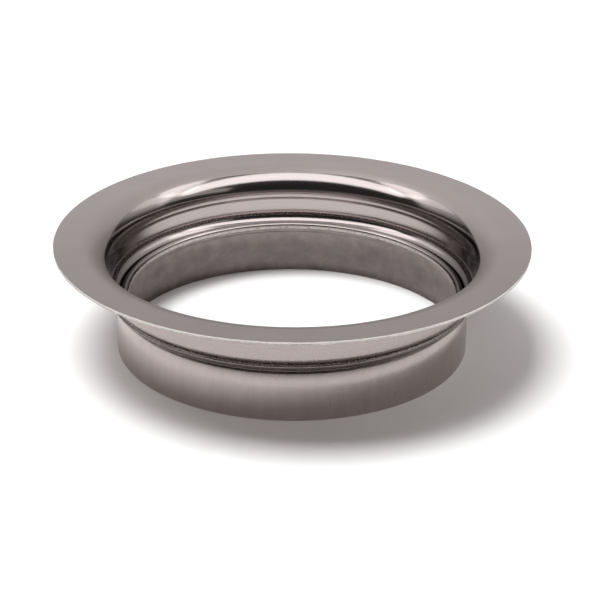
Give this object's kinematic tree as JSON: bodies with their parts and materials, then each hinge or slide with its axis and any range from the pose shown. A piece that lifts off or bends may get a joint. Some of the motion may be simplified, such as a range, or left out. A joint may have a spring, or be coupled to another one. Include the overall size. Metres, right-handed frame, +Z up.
{
  "type": "disposer sink flange",
  "caption": "Round sheet-steel sink flange with a stepped throat and a welded collar ring below, from which a kitchen waste disposer hangs.",
  "frame": {"origin": "on the ring's axis, in the plane that the collar's lower edge stands on", "axes": "+Z up along the ring's axis, from the collar towards the flange"},
  "size_m": [0.1128, 0.1128, 0.0266],
  "materials": {
    "flange_steel": "satin flange top, polished throat",
    "collar_steel": "brushed along the axis outside, dull inside",
    "weld": "bright, uneven bead"
  },
  "bodies": {
    "root": {"flange_pressing": "flange_steel", "collar_ring": "collar_steel", "seam_weld": "weld"}
  },
  "joints": []
}
